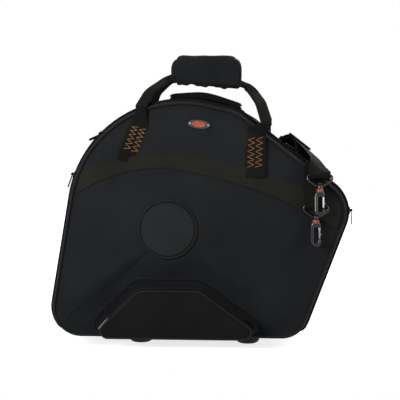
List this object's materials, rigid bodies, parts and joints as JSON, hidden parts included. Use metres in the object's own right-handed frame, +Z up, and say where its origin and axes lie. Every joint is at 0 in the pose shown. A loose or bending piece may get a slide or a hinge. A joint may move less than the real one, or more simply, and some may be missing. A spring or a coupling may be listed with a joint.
{
  "type": "french horn case",
  "caption": "Soft-sided french horn case with a bell bulge, front pocket, wrapped twin-web handle, shoulder strap with snap hooks, zipped lid, foam insert and domed rubber feet.",
  "frame": {"origin": "on the floor, under the middle of the case", "axes": "+X to the right seen from the front, +Y to the back, +Z up; the lid faces -Y"},
  "size_m": [0.5429, 0.2875, 0.5285],
  "materials": {
    "nylon": "woven nylon, matt",
    "nylon_light": "woven nylon, matt",
    "band_cloth": "heavy twill, matt",
    "webbing": "ribbed webbing",
    "piping_cloth": "smooth binding",
    "zip_tape": "woven tape",
    "grip_cloth": "padded, matt",
    "steel": "plated, polished",
    "dark_metal": "black, satin",
    "gunmetal": "dark nickel plate",
    "badge_metal": "brushed",
    "enamel": "gloss enamel",
    "rubber": "matt",
    "foam": "plush lining"
  },
  "bodies": {
    "base": {"base_shell": "nylon", "base_piping": "piping_cloth", "base_zip_tape": "zip_tape", "hinge_tape": "zip_tape", "foot_front_left": "rubber", "foot_front_right": "rubber", "foot_rear_left": "rubber", "foot_rear_right": "rubber", "rear_tab_left": "webbing", "rear_tab_right": "webbing", "haul_handle": "webbing", "left_ring_tab": "webbing", "right_ring_tab": "webbing", "strap_loop": "webbing", "tri_glide": "dark_metal", "base_insert": "foam", "horn_strap": "webbing"},
    "lid": {"lid_shell": "nylon", "lid_piping": "piping_cloth", "lid_zip_tape": "zip_tape", "disc_panel": "nylon_light", "disc_piping": "piping_cloth", "arc_band": "band_cloth", "badge_plate": "badge_metal", "badge_enamel": "enamel", "badge_rivets": "badge_metal", "front_tab_left": "webbing", "front_tab_right": "webbing", "pocket_gusset": "nylon", "pocket_zip": "zip_tape", "strap_end_upper": "webbing", "strap_end_lower": "webbing", "lid_pad": "foam"},
    "front_handle": {"front_web": "webbing", "front_grip": "grip_cloth"},
    "rear_handle": {"rear_web": "webbing", "rear_grip": "grip_cloth"},
    "pocket_door": {"pocket_flap": "nylon", "pocket_piping": "piping_cloth"},
    "ring_left": {"left_ring": "dark_metal"},
    "ring_right": {"right_ring": "dark_metal"},
    "eye_upper": {"upper_eye": "gunmetal"},
    "hook_upper": {"upper_hook": "gunmetal"},
    "gate_upper": {"upper_gate": "gunmetal"},
    "eye_lower": {"lower_eye": "gunmetal"},
    "hook_lower": {"lower_hook": "gunmetal"},
    "gate_lower": {"lower_gate": "gunmetal"},
    "slider_left": {"left_zip_slider": "steel"},
    "pull_left": {"left_zip_pull": "steel"},
    "slider_right": {"right_zip_slider": "steel"},
    "pull_right": {"right_zip_pull": "steel"},
    "slider_pocket": {"pocket_zip_slider": "steel"},
    "pull_pocket": {"pocket_zip_pull": "steel"}
  },
  "joints": [
    {"name": "lid_hinge", "type": "hinge", "parent": "base", "child": "lid", "pos_m": [0, -0.055, 0.022], "axis": [1, 0, 0], "range_deg": [0, 100], "deforming": ["hinge_tape"]},
    {"name": "front_handle_swing", "type": "hinge", "parent": "lid", "child": "front_handle", "pos_m": [-0.103, -0.092, 0.438], "axis": [0.9909, 0, -0.1345], "range_deg": [0, 140]},
    {"name": "rear_handle_swing", "type": "hinge", "parent": "base", "child": "rear_handle", "pos_m": [-0.103, 0.122, 0.438], "axis": [-0.9909, 0, 0.1345], "range_deg": [0, 140]},
    {"name": "pocket_opening", "type": "hinge", "parent": "lid", "child": "pocket_door", "pos_m": [0, -0.1273, 0.031], "axis": [1, 0, 0], "range_deg": [0, 60]},
    {"name": "left_ring_swing", "type": "hinge", "parent": "base", "child": "ring_left", "pos_m": [-0.18795, 0.025, 0.38321], "axis": [0, 1, 0], "range_deg": [0, 100]},
    {"name": "right_ring_swing", "type": "hinge", "parent": "base", "child": "ring_right", "pos_m": [0.18181, 0.025, 0.34819], "axis": [0, -1, 0], "range_deg": [0, 12]},
    {"name": "upper_eye_swing", "type": "hinge", "parent": "lid", "child": "eye_upper", "pos_m": [0.2115, -0.113, 0.319], "axis": [-1, 0, 0], "range_deg": [0, 75]},
    {"name": "upper_hook_swivel", "type": "hinge", "parent": "eye_upper", "child": "hook_upper", "pos_m": [0.2115, -0.113, 0.319], "axis": [0, 0.2419, 0.9703], "continuous": true},
    {"name": "upper_gate_spring", "type": "hinge", "parent": "hook_upper", "child": "gate_upper", "pos_m": [0.2179, -0.12115, 0.2863], "axis": [0, 0.9703, -0.2419], "range_deg": [0, 21], "stiffness_Nm_per_rad": 0.02, "springref_deg": -11.46},
    {"name": "lower_eye_swing", "type": "hinge", "parent": "lid", "child": "eye_lower", "pos_m": [0.2055, -0.109, 0.265], "axis": [-1, 0, 0], "range_deg": [0, 30]},
    {"name": "lower_hook_swivel", "type": "hinge", "parent": "eye_lower", "child": "hook_lower", "pos_m": [0.2055, -0.109, 0.265], "axis": [0, 0.0698, 0.9976], "continuous": true},
    {"name": "lower_gate_spring", "type": "hinge", "parent": "hook_lower", "child": "gate_lower", "pos_m": [0.2119, -0.11135, 0.23138], "axis": [0, 0.9976, -0.0698], "range_deg": [0, 21], "stiffness_Nm_per_rad": 0.02, "springref_deg": -11.46},
    {"name": "left_slider_run", "type": "hinge", "parent": "base", "child": "slider_left", "pos_m": [-0.03099, -0.055, 0.24188], "axis": [0, 1, 0], "range_deg": [-8, 78]},
    {"name": "left_pull_flip", "type": "hinge", "parent": "slider_left", "child": "pull_left", "pos_m": [-0.2318, -0.055, 0.31497], "axis": [0, 1, 0], "range_deg": [0, 160]},
    {"name": "right_slider_run", "type": "hinge", "parent": "base", "child": "slider_right", "pos_m": [0.20374, -0.055, 0.24985], "axis": [0, 1, 0], "range_deg": [-46, 16]},
    {"name": "right_pull_flip", "type": "hinge", "parent": "slider_right", "child": "pull_right", "pos_m": [0.2704, -0.055, 0.25218], "axis": [0, -1, 0], "range_deg": [0, 160]},
    {"name": "pocket_slider_run", "type": "slide", "parent": "lid", "child": "slider_pocket", "axis": [0.6585, 0, 0.7526], "range_m": [-0.004, 0.045]},
    {"name": "pocket_pull_flip", "type": "hinge", "parent": "slider_pocket", "child": "pull_pocket", "pos_m": [-0.15992, -0.1294, 0.06588], "axis": [0, 1, 0], "range_deg": [0, 150]}
  ]
}
